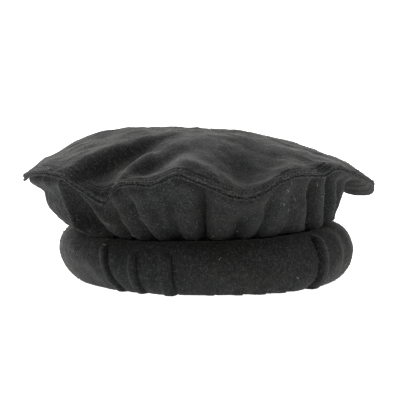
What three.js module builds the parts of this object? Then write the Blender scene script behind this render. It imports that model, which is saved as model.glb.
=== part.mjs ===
// A pakol: a round soft cap of thick fulled wool, worn in the mountains of south and central Asia.
// A flat round crown is seamed at its rim to a tube of the same felt. The tube puckers in below the rim,
// and its lower length is rolled up outwards into a thick brim that the cap stands on.
//
// Frame: millimetres, +Z up, the surface that the brim rests on is Z = 0, the front is -Y.
// The origin lies on that surface, under the middle of the crown.
// A bearing is counted in degrees from the front, and grows towards +X.

import * as THREE from "three";

// Driving sizes.
const OPENING_WIDTH = 180; // head opening from side to side, a head of about 57 cm round
const OPENING_DEPTH = 184; // head opening from front to back
const OPENING_SHIFT = 5.5; // how far the opening sits to the right of the crown's middle
const FELT = 1.8; // thickness of the wool
const SEAM_GAP = 0.3; // clearance between two layers that lie on each other
const BRIM_WIDTH = 28; // rolled brim, from the sleeve outwards
const BRIM_HEIGHT = 46; // rolled brim, from the surface up
const BRIM_SETTLING = 1.8; // how far the underside of the brim is pressed flat on the surface
const CROWN_WIDTH = 286; // crown from rim to rim, side to side
const CROWN_DEPTH = 280; // crown from rim to rim, front to back
const RIM_HEIGHT = 91; // mean height of the crown's rim, on its upper face
const CROWN_RISE = 30; // how far the middle of the crown puffs up above its rim
const RUFFLE_HEIGHT = 20; // rise or drop of the rim from its mean height
const RUFFLE_REACH = 6; // largest change of the rim's radius
const FOLD_HEIGHT = 13; // largest swell or hollow in the crown
const GATHER_DEPTH = 8; // largest depth of a pucker in the side wall
const PLEAT_HEIGHT = 4; // largest step of a pleat in the brim

// How finely the felt is faceted: each row takes so many columns of facets up to its bearing.
const SPANS = [
  { bearing: 40, columns: 13 },
  { bearing: 56, columns: 8 },
  { bearing: 100, columns: 11 },
  { bearing: 180, columns: 14 },
  { bearing: 260, columns: 14 },
  { bearing: 290, columns: 6 },
  { bearing: 312, columns: 8 },
  { bearing: 352, columns: 25 },
  { bearing: 360, columns: 3 },
];

const radians = THREE.MathUtils.degToRad;
const lerp = THREE.MathUtils.lerp;

// The bearing, in radians, of each column of facets.
const COLUMNS = SPANS.flatMap(({ bearing, columns }, i) => {
  const start = i > 0 ? SPANS[i - 1].bearing : 0;
  return Array.from({ length: columns }, (_, k) => radians(lerp(start, bearing, k / columns)));
});

// The signed angle, in radians, from one bearing to another by the short way.
const turnBetween = (from, to) => Math.atan2(Math.sin(to - from), Math.cos(to - from));

const bell = (x) => Math.exp(-x * x);

// A smooth closed curve through one column of a table whose rows go once round by bearing.
function roundTable(rows, column) {
  const at = rows.map((row) => radians(row.bearing));
  const value = rows.map((row) => row[column]);
  const count = rows.length;
  const knot = (i) => at[((i % count) + count) % count] + 2 * Math.PI * Math.floor(i / count);
  const height = (i) => value[((i % count) + count) % count];
  const slope = (i) => (height(i + 1) - height(i - 1)) / (knot(i + 1) - knot(i - 1));
  return (bearing) => {
    const turned = bearing - 2 * Math.PI * Math.floor((bearing - at[0]) / (2 * Math.PI));
    let i = 0;
    while (i < count - 1 && at[i + 1] <= turned) i += 1;
    const span = knot(i + 1) - knot(i);
    const t = (turned - knot(i)) / span;
    const s = t * t * (3 - 2 * t);
    const start = t * (1 - t) * (1 - t) * slope(i) * span;
    const end = t * t * (t - 1) * slope(i + 1) * span;
    return lerp(height(i), height(i + 1), s) + start + end;
  };
}

// The crown's rim. lift is a share of RUFFLE_HEIGHT and reach one of RUFFLE_REACH.
const RIM = [
  { bearing: -112, lift: 0, reach: -0.9 },
  { bearing: -103, lift: -0.04, reach: -0.9 },
  { bearing: -97, lift: -0.13, reach: -0.45 },
  { bearing: -91, lift: -0.24, reach: 0 },
  { bearing: -82, lift: -0.3, reach: 0 },
  { bearing: -70, lift: 0.02, reach: 0 },
  { bearing: -60, lift: 0.19, reach: 0 },
  { bearing: -52, lift: 0.15, reach: 0 },
  { bearing: -46, lift: 0.1, reach: 0 },
  { bearing: -41, lift: -0.07, reach: 0 },
  { bearing: -37, lift: -0.35, reach: -0.1 },
  { bearing: -33, lift: -0.7, reach: -0.3 },
  { bearing: -30.4, lift: -0.72, reach: -0.3 },
  { bearing: -28, lift: -0.22, reach: -0.1 },
  { bearing: -25, lift: 0.04, reach: 0 },
  { bearing: -21, lift: 0.11, reach: 0 },
  { bearing: -15, lift: 0.03, reach: -0.1 },
  { bearing: -11, lift: 0.18, reach: 0 },
  { bearing: -6.5, lift: 0.42, reach: 0.2 },
  { bearing: -1, lift: 0.2, reach: 0.1 },
  { bearing: 5, lift: -0.05, reach: 0 },
  { bearing: 9, lift: -0.25, reach: -0.2 },
  { bearing: 16, lift: -0.31, reach: -0.3 },
  { bearing: 21, lift: -0.12, reach: 0 },
  { bearing: 26, lift: 0.2, reach: 0.2 },
  { bearing: 32, lift: 0.36, reach: 0.2 },
  { bearing: 39, lift: 0.3, reach: 0 },
  { bearing: 44, lift: 0.26, reach: 0 },
  { bearing: 49, lift: 0.46, reach: 0 },
  { bearing: 54, lift: 0.37, reach: 0 },
  { bearing: 67, lift: -0.08, reach: 0 },
  { bearing: 82, lift: -0.5, reach: 0.1 },
  { bearing: 92, lift: -0.87, reach: 0.1 },
  { bearing: 105, lift: -1.15, reach: 0 },
  { bearing: 118, lift: -1.2, reach: -0.2 },
  { bearing: 132, lift: -0.8, reach: 0 },
  { bearing: 150, lift: -0.1, reach: 0.1 },
  { bearing: 172, lift: 0.25, reach: 0 },
  { bearing: 194, lift: -0.1, reach: -0.2 },
  { bearing: 214, lift: 0.2, reach: 0 },
  { bearing: 232, lift: 0.05, reach: -0.4 },
];
const rimLift = roundTable(RIM, "lift");
const rimReach = roundTable(RIM, "reach");

// Swells and hollows of the crown, each a long soft bell. right, back, long and wide are shares of half the
// crown's width, turn is the way that the long axis runs, in degrees from the right, and rise is a share
// of FOLD_HEIGHT.
const FOLDS = [
  { right: -0.6, back: 0.1, long: 0.36, wide: 0.34, turn: 0, rise: 0.5 },
  { right: -0.7, back: -0.42, long: 0.36, wide: 0.09, turn: 4, rise: 0.5 },
  { right: -0.6, back: -0.66, long: 0.2, wide: 0.12, turn: 30, rise: -1.1 },
  { right: -0.4, back: -0.62, long: 0.26, wide: 0.06, turn: 40, rise: 0.65 },
  { right: -0.26, back: -0.75, long: 0.2, wide: 0.07, turn: 50, rise: -0.6 },
  { right: -0.11, back: -0.74, long: 0.3, wide: 0.08, turn: 60, rise: 0.6 },
  { right: 0.27, back: -0.7, long: 0.28, wide: 0.19, turn: 100, rise: -0.9 },
  { right: 0.58, back: 0, long: 0.26, wide: 0.26, turn: 0, rise: -0.22 },
  { right: 0.5, back: 0.55, long: 0.3, wide: 0.16, turn: 50, rise: -0.5 },
  { right: -0.1, back: 0.66, long: 0.28, wide: 0.15, turn: 95, rise: -0.55 },
  { right: -0.62, back: 0.42, long: 0.26, wide: 0.14, turn: 150, rise: -0.45 },
];

// How far the felt of the crown is from the axis, as a share of the way to the rim, at each ring of facets.
const CROWN_RINGS = [0, 0.18, 0.36, 0.52, 0.66, 0.77, 0.85, 0.91, 0.955, 1];
// The rings over which the top of the tube lies flat under the crown.
const FLANGE_RINGS = [0.91, 0.955, 1];

// The plan position of the rim.
function rimPoint(bearing) {
  const reach = RUFFLE_REACH * rimReach(bearing);
  return new THREE.Vector2(
    (CROWN_WIDTH / 2 + reach) * Math.sin(bearing),
    -(CROWN_DEPTH / 2 + reach) * Math.cos(bearing),
  );
}

// The height of the crown's upper face, a share of the way out to the rim on a bearing.
const CROWN_FULLNESS = 2.4; // exponent of the dome: higher is flatter in the middle and steeper at the rim
const RUFFLE_FADE = 5; // exponent by which the ruffles die out towards the middle
const RIM_STIFFNESS = 0.55; // share by which the folds are weaker at the stitched rim
const RIM_STIFFNESS_FADE = 8; // exponent by which that stiffness dies out towards the middle
function crownTop(share, bearing) {
  const half = CROWN_WIDTH / 2;
  const place = rimPoint(bearing).multiplyScalar(share);
  const dome = CROWN_RISE * (1 - share ** CROWN_FULLNESS);
  const ruffle = RUFFLE_HEIGHT * rimLift(bearing) * share ** RUFFLE_FADE;
  let folds = 0;
  for (const fold of FOLDS) {
    const away = place.clone().sub(new THREE.Vector2(fold.right * half, fold.back * half));
    away.rotateAround(new THREE.Vector2(0, 0), -radians(fold.turn));
    folds += fold.rise * bell(away.x / (fold.long * half)) * bell(away.y / (fold.wide * half));
  }
  const slack = 1 - RIM_STIFFNESS * share ** RIM_STIFFNESS_FADE;
  return RIM_HEIGHT + dome + ruffle + FOLD_HEIGHT * folds * slack;
}

// Turns a section into a ring or disc, then puts each of its points where place(bearing, index) says. The
// second half of a section runs back along the first, and its facets are divided along the same diagonals,
// so that the felt keeps its thickness in the folds.
function turned(section, place) {
  const geometry = new THREE.LatheGeometry(section, COLUMNS.length);
  const position = geometry.getAttribute("position");
  for (let column = 0; column <= COLUMNS.length; column += 1)
    section.forEach((_, index) => {
      const { x, y, z } = place(COLUMNS[column % COLUMNS.length], index);
      position.setXYZ(column * section.length + index, x, y, z);
    });
  const index = geometry.getIndex();
  const facets = section.length - 1;
  for (let facet = 0; facet < COLUMNS.length * facets; facet += 1) {
    if (facet % facets < facets / 2) continue;
    const [a, b, d, c] = [0, 1, 2, 3].map((corner) => index.getX(6 * facet + corner));
    [a, b, c, a, c, d].forEach((vertex, corner) => index.setX(6 * facet + corner, vertex));
  }
  geometry.computeVertexNormals();
  return geometry;
}

// The crown: one round sheet of felt.
function crownDisc() {
  const under = CROWN_RINGS.map((share) => ({ share, drop: FELT }));
  const top = CROWN_RINGS.map((share) => ({ share, drop: 0 })).reverse();
  const rows = [...under, ...top];
  const half = CROWN_WIDTH / 2;
  const section = rows.map(({ share, drop }) => new THREE.Vector2(share * half, RIM_HEIGHT - drop));
  return turned(section, (bearing, index) => {
    const { share, drop } = rows[index];
    const plan = rimPoint(bearing).multiplyScalar(share);
    return new THREE.Vector3(plan.x, plan.y, crownTop(share, bearing) - drop);
  });
}

// The plan position of a point some way out from the inner face of the head opening.
function openingPoint(bearing, out) {
  return new THREE.Vector2(
    OPENING_SHIFT + (OPENING_WIDTH / 2 + out) * Math.sin(bearing),
    -(OPENING_DEPTH / 2 + out) * Math.cos(bearing),
  );
}

// How far the side wall stands out between the brim and the crown, from low down to high up: at its belly, at
// its shoulder and at its brow. Each is a share of the way from the opening to the rim.
const BAG = [
  { bearing: -100, belly: 0.54, shoulder: 0.73, brow: 0.95 },
  { bearing: -80, belly: 0.53, shoulder: 0.73, brow: 0.95 },
  { bearing: -58, belly: 0.47, shoulder: 0.68, brow: 0.82 },
  { bearing: -30, belly: 0.42, shoulder: 0.6, brow: 0.75 },
  { bearing: 0, belly: 0.42, shoulder: 0.59, brow: 0.74 },
  { bearing: 30, belly: 0.41, shoulder: 0.56, brow: 0.68 },
  { bearing: 60, belly: 0.39, shoulder: 0.48, brow: 0.53 },
  { bearing: 90, belly: 0.37, shoulder: 0.46, brow: 0.48 },
  { bearing: 130, belly: 0.38, shoulder: 0.48, brow: 0.5 },
  { bearing: 180, belly: 0.41, shoulder: 0.54, brow: 0.6 },
  { bearing: 230, belly: 0.45, shoulder: 0.62, brow: 0.68 },
];
const bagBelly = roundTable(BAG, "belly");
const bagShoulder = roundTable(BAG, "shoulder");
const bagBrow = roundTable(BAG, "brow");

// Puckers of the side wall: creases, and ridges where the depth is negative. bearing is midway between the
// foot and the head, lean is how many degrees further left the head is than the foot, bow is how many degrees
// further right the middle is, depth is a share of GATHER_DEPTH and width is in degrees.
const CREASES = [
  { bearing: -84, lean: 0, bow: -4, depth: 0.4, width: 5 },
  { bearing: -64, lean: 8, bow: -9, depth: 0.6, width: 4 },
  { bearing: -48, lean: 3, bow: -13, depth: -0.9, width: 4 },
  { bearing: -39, lean: 5, bow: -10, depth: 0.9, width: 5.5 },
  { bearing: -29, lean: 11, bow: 0, depth: 0.7, width: 3 },
  { bearing: -20, lean: 9, bow: 0, depth: 0.45, width: 3 },
  { bearing: -12.5, lean: 2, bow: 0, depth: 0.7, width: 3 },
  { bearing: 0.3, lean: 0, bow: 0, depth: 1.1, width: 2.4 },
  { bearing: 14, lean: -3, bow: 0, depth: 0.55, width: 3 },
  { bearing: 24, lean: -8, bow: 0, depth: 0.65, width: 2.6 },
  { bearing: 35, lean: -2, bow: 0, depth: 0.3, width: 4 },
  { bearing: 46, lean: -1, bow: 0, depth: 0.85, width: 2.8 },
  { bearing: 57.5, lean: -1, bow: 0, depth: 1.05, width: 3.2 },
  { bearing: 71, lean: 0, bow: 0, depth: 0.6, width: 4 },
  { bearing: 86, lean: 0, bow: 0, depth: 0.5, width: 5 },
  { bearing: 101, lean: 2, bow: 0, depth: 0.9, width: 5 },
  { bearing: 118, lean: -2, bow: 2, depth: 0.6, width: 5 },
  { bearing: 136, lean: 3, bow: 0, depth: 0.9, width: 6 },
  { bearing: 156, lean: 0, bow: -2, depth: 0.7, width: 6 },
  { bearing: 175, lean: -3, bow: 0, depth: 0.9, width: 6 },
  { bearing: 193, lean: 2, bow: 2, depth: 0.6, width: 5 },
  { bearing: 212, lean: 0, bow: 0, depth: 0.9, width: 6 },
  { bearing: 231, lean: 3, bow: -2, depth: 0.7, width: 5 },
  { bearing: 247, lean: -2, bow: 0, depth: 0.9, width: 5 },
  { bearing: 264, lean: 2, bow: 0, depth: 0.6, width: 5 },
];

// How deep the side wall is gathered on a bearing, at a share of its height from the brim to the crown.
function gather(bearing, up) {
  let depth = 0;
  for (const crease of CREASES) {
    const at = radians(crease.bearing - crease.lean * (up - 0.5) + 4 * crease.bow * up * (1 - up));
    depth += crease.depth * bell(turnBetween(at, bearing) / radians(crease.width));
  }
  return depth;
}

// The middle of the tube's felt, from the hem inside the brim up to the rim. The sleeve's top is a share of
// BRIM_HEIGHT. A row of the bag gives its height as a share of the way from the brim's top up to the crown,
// how much it takes of the belly, of the shoulder and of the brow, and how full its puckers are.
const HEM_LIFT = FELT + 2 * SEAM_GAP; // the sleeve's hem above the surface, on the turned felt of the brim
const SLEEVE_TOP = 0.8;
const NECK = 0.06; // how far out the tube bends over the brim's inner edge, a share of the way to the rim
const BAG_ROWS = [
  { up: 0.055, belly: 0.72, shoulder: 0, brow: 0, full: 0.6 },
  { up: 0.16, belly: 0.97, shoulder: 0, brow: 0, full: 0.95 },
  { up: 0.38, belly: 0.55, shoulder: 0.45, brow: 0, full: 1 },
  { up: 0.61, belly: 0, shoulder: 1, brow: 0, full: 0.85 },
  { up: 0.81, belly: 0, shoulder: 0, brow: 1, full: 0.5 },
];

// One point of the tube's middle line on each row: where it is in plan, how far out it is, and its height.
function tubeLine(bearing) {
  const foot = openingPoint(bearing, FELT / 2);
  const rim = rimPoint(bearing);
  const reach = rim.distanceTo(foot);
  const away = rim.clone().sub(foot).normalize();
  const at = (out, height) => ({ plan: foot.clone().addScaledVector(away, out), out, height });
  const flange = FLANGE_RINGS.map((share) => {
    const plan = rim.clone().multiplyScalar(share);
    return { plan, out: plan.distanceTo(foot), height: crownTop(share, bearing) - 1.5 * FELT - SEAM_GAP };
  });
  const bag = BAG_ROWS.map(({ up, belly, shoulder, brow, full }) => {
    const stand = belly * bagBelly(bearing) + shoulder * bagShoulder(bearing) + brow * bagBrow(bearing);
    const out = stand * reach - GATHER_DEPTH * full * gather(bearing, up);
    return at(out, lerp(BRIM_HEIGHT, flange[0].height, up));
  });
  const sleeve = [at(0, HEM_LIFT), at(0, SLEEVE_TOP * BRIM_HEIGHT)];
  return { away, line: [...sleeve, at(NECK * reach, BRIM_HEIGHT + FELT / 2 + SEAM_GAP), ...bag, ...flange] };
}

// One face of the tube: its middle line moved by half the felt's thickness, outwards where side is 1.
function tubeFace({ away, line }, side) {
  return line.map(({ plan, height }, i) => {
    const before = line[Math.max(i - 1, 0)];
    const after = line[Math.min(i + 1, line.length - 1)];
    const along = new THREE.Vector2(after.out - before.out, after.height - before.height).normalize();
    // The flange lies flat under the crown, so it is moved straight down.
    if (i >= line.length - FLANGE_RINGS.length) along.set(1, 0);
    const moved = plan.clone().addScaledVector(away, (side * along.y * FELT) / 2);
    return new THREE.Vector3(moved.x, moved.y, height - (side * along.x * FELT) / 2);
  });
}

// The side wall: the tube of felt, a closed band of even thickness about its middle line.
function sideWall() {
  const ring = (bearing) => {
    const tube = tubeLine(bearing);
    const outside = tubeFace(tube, 1);
    return [...outside, ...tubeFace(tube, -1).reverse(), outside[0]];
  };
  const rings = new Map(COLUMNS.map((bearing) => [bearing, ring(bearing)]));
  const section = rings.get(0).map(({ y, z }) => new THREE.Vector2(-y, z));
  return turned(section, (bearing, index) => rings.get(bearing)[index]);
}

// Pleats of the brim: where the felt laps over itself as it is rolled. lip is the height of the lapped edge,
// a share of PLEAT_HEIGHT, side is the way that the lip lies from its groove, lean is how many degrees the
// groove shifts from the outermost line to the top, and low and high are how far round the roll it runs, in
// degrees from its outermost line, with the bottom at -90 and the top at 90.
const PLEATS = [
  { bearing: -40.5, side: -1, lean: -4, lip: 0.9, width: 2.1, low: -110, high: 42 },
  { bearing: -27.3, side: -1, lean: -1, lip: 1, width: 2.1, low: -115, high: 30 },
  { bearing: -13.4, side: -1, lean: 0, lip: 0.9, width: 2, low: -120, high: 26 },
  { bearing: 4, side: -1, lean: 0, lip: 0.4, width: 3, low: -120, high: -50 },
  { bearing: 16, side: -1, lean: 0, lip: 0.6, width: 3, low: -120, high: -52 },
  { bearing: 26, side: -1, lean: 0, lip: 0.5, width: 4.4, low: -120, high: -50 },
  { bearing: 36, side: -1, lean: 0, lip: 0.5, width: 4, low: -115, high: -45 },
  { bearing: 47.3, side: 1, lean: -2, lip: 0.9, width: 2.4, low: -100, high: 58 },
  { bearing: 74, side: 1, lean: 3, lip: 0.4, width: 4, low: -110, high: 20 },
  { bearing: 96, side: 1, lean: 0, lip: 0.6, width: 4, low: -110, high: 58 },
  { bearing: 113, side: -1, lean: 2, lip: 0.7, width: 4, low: -115, high: 50 },
  { bearing: 137, side: 1, lean: -2, lip: 0.5, width: 4, low: -115, high: 30 },
  { bearing: 158, side: 1, lean: 0, lip: 0.7, width: 4.4, low: -110, high: 58 },
  { bearing: 183, side: -1, lean: 3, lip: 0.6, width: 4.4, low: -115, high: 50 },
  { bearing: 207, side: 1, lean: 0, lip: 0.7, width: 4.4, low: -110, high: 58 },
  { bearing: 230, side: -1, lean: -2, lip: 0.5, width: 4, low: -110, high: 40 },
  { bearing: 251, side: 1, lean: 0, lip: 0.6, width: 4, low: -115, high: 58 },
  { bearing: 277, side: -1, lean: 2, lip: 0.4, width: 4, low: -110, high: 30 },
  { bearing: 298, side: -1, lean: 0, lip: 0.4, width: 4, low: -115, high: -30 },
];
const PLEAT_END = 16; // degrees round the roll over which a pleat dies out
const GROOVE_DEPTH = 0.75; // depth of a pleat's groove, a share of its lip's height
const GROOVE_SHARPNESS = 1.6; // how many times narrower the groove is than the lip

// How far a pleat lifts or sinks the brim's skin on a bearing, at an angle round the roll in degrees.
function pleat(bearing, round) {
  const step = (x) => THREE.MathUtils.smoothstep(x, -1, 1);
  let rise = 0;
  for (const row of PLEATS) {
    const from = turnBetween(radians(row.bearing + (row.lean * round) / 90), bearing) / radians(row.width);
    const lip = bell(from * row.side - 1);
    const groove = bell(from * GROOVE_SHARPNESS);
    const ends = step((round - row.low) / PLEAT_END) * step((row.high - round) / PLEAT_END);
    rise += row.lip * ends * (lip - GROOVE_DEPTH * groove);
  }
  return rise;
}

// How the roll differs round the brim. thick is a share of BRIM_WIDTH, and lift is how far its lower outer
// corner is rounded up, as a share of BRIM_HEIGHT.
const ROLL = [
  { bearing: -90, thick: 1, lift: 0.12 },
  { bearing: -60, thick: 1, lift: 0.16 },
  { bearing: -40, thick: 0.99, lift: 0.06 },
  { bearing: 0, thick: 1, lift: 0 },
  { bearing: 50, thick: 1.02, lift: 0.02 },
  { bearing: 90, thick: 1.04, lift: 0.03 },
  { bearing: 135, thick: 0.98, lift: 0.02 },
  { bearing: 180, thick: 1.02, lift: 0 },
  { bearing: 230, thick: 0.97, lift: 0.05 },
];
const rollThick = roundTable(ROLL, "thick");
const rollLift = roundTable(ROLL, "lift");

// The rolled brim: a thick ring of wound felt. Its section is round outside and flat against the sleeve, and
// the felt of its lowest turn runs in under the sleeve's hem.
const ROLL_BACK = 0.3; // share of the brim's width that lies inside its highest line
const ROLL_SQUARENESS = 2.3; // exponent of the section: 2 is an ellipse, and higher is squarer
const ROLL_POINTS = 15;
const ROLL_START = -120; // where the section begins under the roll, and where it ends behind it, in degrees
const ROLL_END = 210;
function rolledBrim() {
  const start = FELT + SEAM_GAP;
  const middle = start + ROLL_BACK * BRIM_WIDTH;
  const power = (x) => Math.sign(x) * Math.abs(x) ** (2 / ROLL_SQUARENESS);
  const rows = [];
  for (let i = 0; i < ROLL_POINTS; i += 1) {
    const round = lerp(ROLL_START, ROLL_END, i / (ROLL_POINTS - 1));
    const across = power(Math.cos(radians(round)));
    const half = across > 0 ? (1 - ROLL_BACK) * BRIM_WIDTH : ROLL_BACK * BRIM_WIDTH;
    const height = (BRIM_HEIGHT / 2) * (1 + power(Math.sin(radians(round))));
    rows.push({ round, out: middle + half * across, height, low: 1 - height / BRIM_HEIGHT });
  }
  const top = HEM_LIFT - SEAM_GAP;
  rows.push({ round: ROLL_END, out: start, height: top, low: 0 });
  rows.push({ round: ROLL_END, out: 0, height: top, low: 0 });
  rows.push({ round: ROLL_END, out: 0.4 * FELT, height: top - 0.9 * FELT, low: 0 });
  rows.push(rows[0]);
  const section = rows.map(({ out, height }) => new THREE.Vector2(OPENING_WIDTH / 2 + out, height));
  return turned(section, (bearing, index) => {
    const { round, out, height, low } = rows[index];
    const swell = PLEAT_HEIGHT * pleat(bearing, round);
    const outer = Math.max(out - middle, 0) / ((1 - ROLL_BACK) * BRIM_WIDTH);
    const thick = out + (rollThick(bearing) - 1) * BRIM_WIDTH * outer;
    const plan = openingPoint(bearing, thick + swell * Math.cos(radians(round)));
    const rounding = rollLift(bearing) * BRIM_HEIGHT * outer * low;
    const lifted = height + rounding + swell * Math.sin(radians(round));
    return new THREE.Vector3(plan.x, plan.y, Math.max(lifted - BRIM_SETTLING * low, 0));
  });
}

const FELT_BLACK = new THREE.MeshStandardMaterial({ color: 0x232323, roughness: 0.95, metalness: 0 });

// One named piece of felt.
function piece(name, geometry) {
  const mesh = new THREE.Mesh(geometry, FELT_BLACK.clone());
  mesh.name = name;
  return mesh;
}

const pakol = new THREE.Group();
pakol.name = "pakol";
pakol.add(piece("crown_disc", crownDisc()));
pakol.add(piece("side_wall", sideWall()));
pakol.add(piece("rolled_brim", rolledBrim()));

export default pakol;
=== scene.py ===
import logging
import math
from collections.abc import Sequence
from dataclasses import dataclass
from enum import Enum
from typing import NamedTuple, Protocol

import bmesh
import bpy
import numpy as np
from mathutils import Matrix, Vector

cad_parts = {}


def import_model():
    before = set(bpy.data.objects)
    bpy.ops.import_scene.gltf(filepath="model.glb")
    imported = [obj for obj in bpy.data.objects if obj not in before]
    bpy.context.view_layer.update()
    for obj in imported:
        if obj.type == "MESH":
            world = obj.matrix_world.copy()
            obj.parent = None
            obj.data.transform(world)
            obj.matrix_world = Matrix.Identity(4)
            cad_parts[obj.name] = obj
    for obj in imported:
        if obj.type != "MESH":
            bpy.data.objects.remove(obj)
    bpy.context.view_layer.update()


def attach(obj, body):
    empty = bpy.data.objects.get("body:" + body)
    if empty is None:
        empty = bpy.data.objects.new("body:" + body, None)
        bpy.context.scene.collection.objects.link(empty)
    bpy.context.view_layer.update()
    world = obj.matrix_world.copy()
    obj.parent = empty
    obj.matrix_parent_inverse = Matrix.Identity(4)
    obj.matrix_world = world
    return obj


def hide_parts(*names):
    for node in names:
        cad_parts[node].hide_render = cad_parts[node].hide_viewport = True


# A pakol: a soft round cap of thick black fulled wool that rests on its rolled brim.
#
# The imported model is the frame. Three pieces of felt replace its solids, and sewing thread, nap and lint lie
# on them. Shapes are worked out in millimetres, as grids of points, and go into the meshes in metres. +Z is
# up, the front is -Y, and a bearing is counted from the front and grows towards +X.

Array = np.ndarray

MM = 0.001  # one millimetre, in metres
TURN = 2 * math.pi
COLUMNS = 720  # columns of facets round the crown and the side wall
WELD = 1e-7  # points of a seam closer than this, in metres, are one
BAKE_MAP = "OFBake"  # the name of the UV map that textures are baked through
TUBE_RING = 0.4  # radius of a tube's ring on that map, a share of the square that the tube has there

log = logging.getLogger("pakol")


@dataclass(frozen=True)
class Sizes:
    """Driving sizes of the cap in millimetres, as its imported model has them."""

    opening_width: float = 180.0
    opening_depth: float = 184.0
    opening_shift: float = 5.5
    felt: float = 1.8
    seam_gap: float = 0.3
    brim_width: float = 28.0
    brim_height: float = 46.0
    brim_settling: float = 1.8
    crown_width: float = 286.0
    crown_depth: float = 280.0
    rim_height: float = 91.0
    crown_rise: float = 30.0
    ruffle_height: float = 20.0
    ruffle_reach: float = 6.0
    fold_height: float = 13.0
    gather_depth: float = 8.0

    @property
    def roll_start(self) -> float:
        """How far out from the opening the roll starts, and how high it reaches under the hem."""
        return self.felt + self.seam_gap


def table(kind: type[NamedTuple], *rows: tuple[float, ...]) -> tuple[NamedTuple, ...]:
    """A table: rows that all have the named columns of one kind."""
    return tuple(kind(*row) for row in rows)


class RimRow(NamedTuple):
    """A place on the crown's rim: lift is a share of the ruffles' height and reach one of their reach."""

    bearing: float
    lift: float
    reach: float


RIM = table(
    RimRow,
    (-112, -0.14, -0.9), (-103, -0.24, -0.9), (-97, -0.27, -0.45), (-91, -0.31, 0), (-82, -0.3, 0),
    (-70, 0.02, 0), (-60, 0.19, 0), (-52, 0.15, 0), (-46, 0.1, 0), (-41, -0.07, 0),
    (-37, -0.35, -0.1), (-33, -0.7, -0.3), (-30.4, -0.72, -0.3), (-28, -0.22, -0.1), (-25, 0.04, 0),
    (-21, 0.11, 0), (-15, 0.03, -0.1), (-11, 0.18, 0), (-6.5, 0.42, 0.2), (-1, 0.2, 0.1),
    (5, -0.05, 0), (9, -0.25, -0.2), (16, -0.31, -0.3), (21, -0.12, 0), (26, 0.2, 0.2),
    (32, 0.36, 0.2), (39, 0.3, 0), (44, 0.26, 0), (49, 0.46, 0), (54, 0.37, 0),
    (67, -0.08, 0), (82, -0.5, 0.1), (92, -0.87, 0.1), (105, -1.15, 0), (118, -1.2, -0.2),
    (132, -0.8, 0), (150, -0.1, 0.1), (172, 0.25, 0), (194, -0.1, -0.2), (214, 0.2, 0),
    (232, 0.05, -0.4),
)


class Fold(NamedTuple):
    """A swell or hollow of the crown, a long soft bell.

    right, back, long and wide are shares of half the crown's width, turn is the way that the long axis runs,
    in degrees from the right, rise is a share of the folds' height, sharp is 1 for a round back and less for
    a crisp one, and steep is how many times narrower the bell is on the left of its long axis.
    """

    right: float
    back: float
    long: float
    wide: float
    turn: float
    rise: float
    sharp: float = 1.0
    steep: float = 1.0


FOLDS = table(
    Fold,
    (-0.52, 0.1, 0.36, 0.34, 0, 0.5),
    (-0.53, -0.43, 0.34, 0.1, 36, 0.16),
    (-0.5, -0.58, 0.32, 0.16, 38, -0.9, 1.0, 2.4),
    (-0.42, -0.7, 0.2, 0.055, 48, 0.5, 0.9),
    (-0.25, -0.72, 0.25, 0.09, 48, -0.62, 1.0, 1.4),
    (-0.03, -0.84, 0.2, 0.08, 44, 0.26, 0.8),
    (0.27, -0.7, 0.3, 0.2, 96, -1.05),
    (0.58, 0, 0.26, 0.26, 0, -0.22),
    (0.5, 0.55, 0.3, 0.16, 50, -0.5),
    (-0.1, 0.66, 0.28, 0.15, 95, -0.55),
    (-0.62, 0.42, 0.26, 0.14, 150, -0.45),
)


class BagRow(NamedTuple):
    """How far the side wall stands out on a bearing, as shares of the way from the opening to the rim."""

    bearing: float
    foot: float
    belly: float
    shoulder: float
    brow: float


BAG = table(
    BagRow,
    (-100, 0.42, 0.69, 0.75, 0.93), (-80, 0.41, 0.67, 0.72, 0.92), (-58, 0.24, 0.5, 0.68, 0.82),
    (-30, 0.14, 0.42, 0.6, 0.75), (0, 0.13, 0.42, 0.59, 0.74), (30, 0.14, 0.41, 0.56, 0.68),
    (60, 0.22, 0.39, 0.48, 0.53), (90, 0.33, 0.4, 0.45, 0.48), (130, 0.26, 0.39, 0.48, 0.5),
    (180, 0.22, 0.41, 0.54, 0.6), (230, 0.3, 0.45, 0.62, 0.68),
)


class HeightRow(NamedTuple):
    """A height of the side wall, a share of the way from the brim to the crown, and what it takes there of
    the foot, the belly, the shoulder and the brow. full is how full its puckers are."""

    up: float
    foot: float
    belly: float
    shoulder: float
    brow: float
    full: float


HEIGHTS = table(
    HeightRow,
    (0.045, 1, 0, 0, 0, 0.9), (0.13, 0.55, 0.45, 0, 0, 1.15), (0.26, 0.12, 0.88, 0, 0, 1.1),
    (0.42, 0, 0.5, 0.5, 0, 1), (0.61, 0, 0, 1, 0, 0.9), (0.81, 0, 0, 0, 1, 0.6),
)


class Crease(NamedTuple):
    """A pucker of the side wall: a crease, or a ridge where its depth is negative.

    bearing is midway between the foot and the head, lean is how many degrees further left the head is than
    the foot, bow is how many degrees further right the middle is, depth is a share of the gathers' depth,
    width is in degrees, sharp is 1 for a round fold and less for a crisp one, low and high are the heights,
    from 0 at the brim to 1 at the crown, between which it lies, and lap is how many millimetres it leans
    over to the right.
    """

    bearing: float
    lean: float
    bow: float
    depth: float
    width: float
    sharp: float = 1.0
    low: float = -1.0
    high: float = 2.0
    lap: float = 0.0


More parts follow.
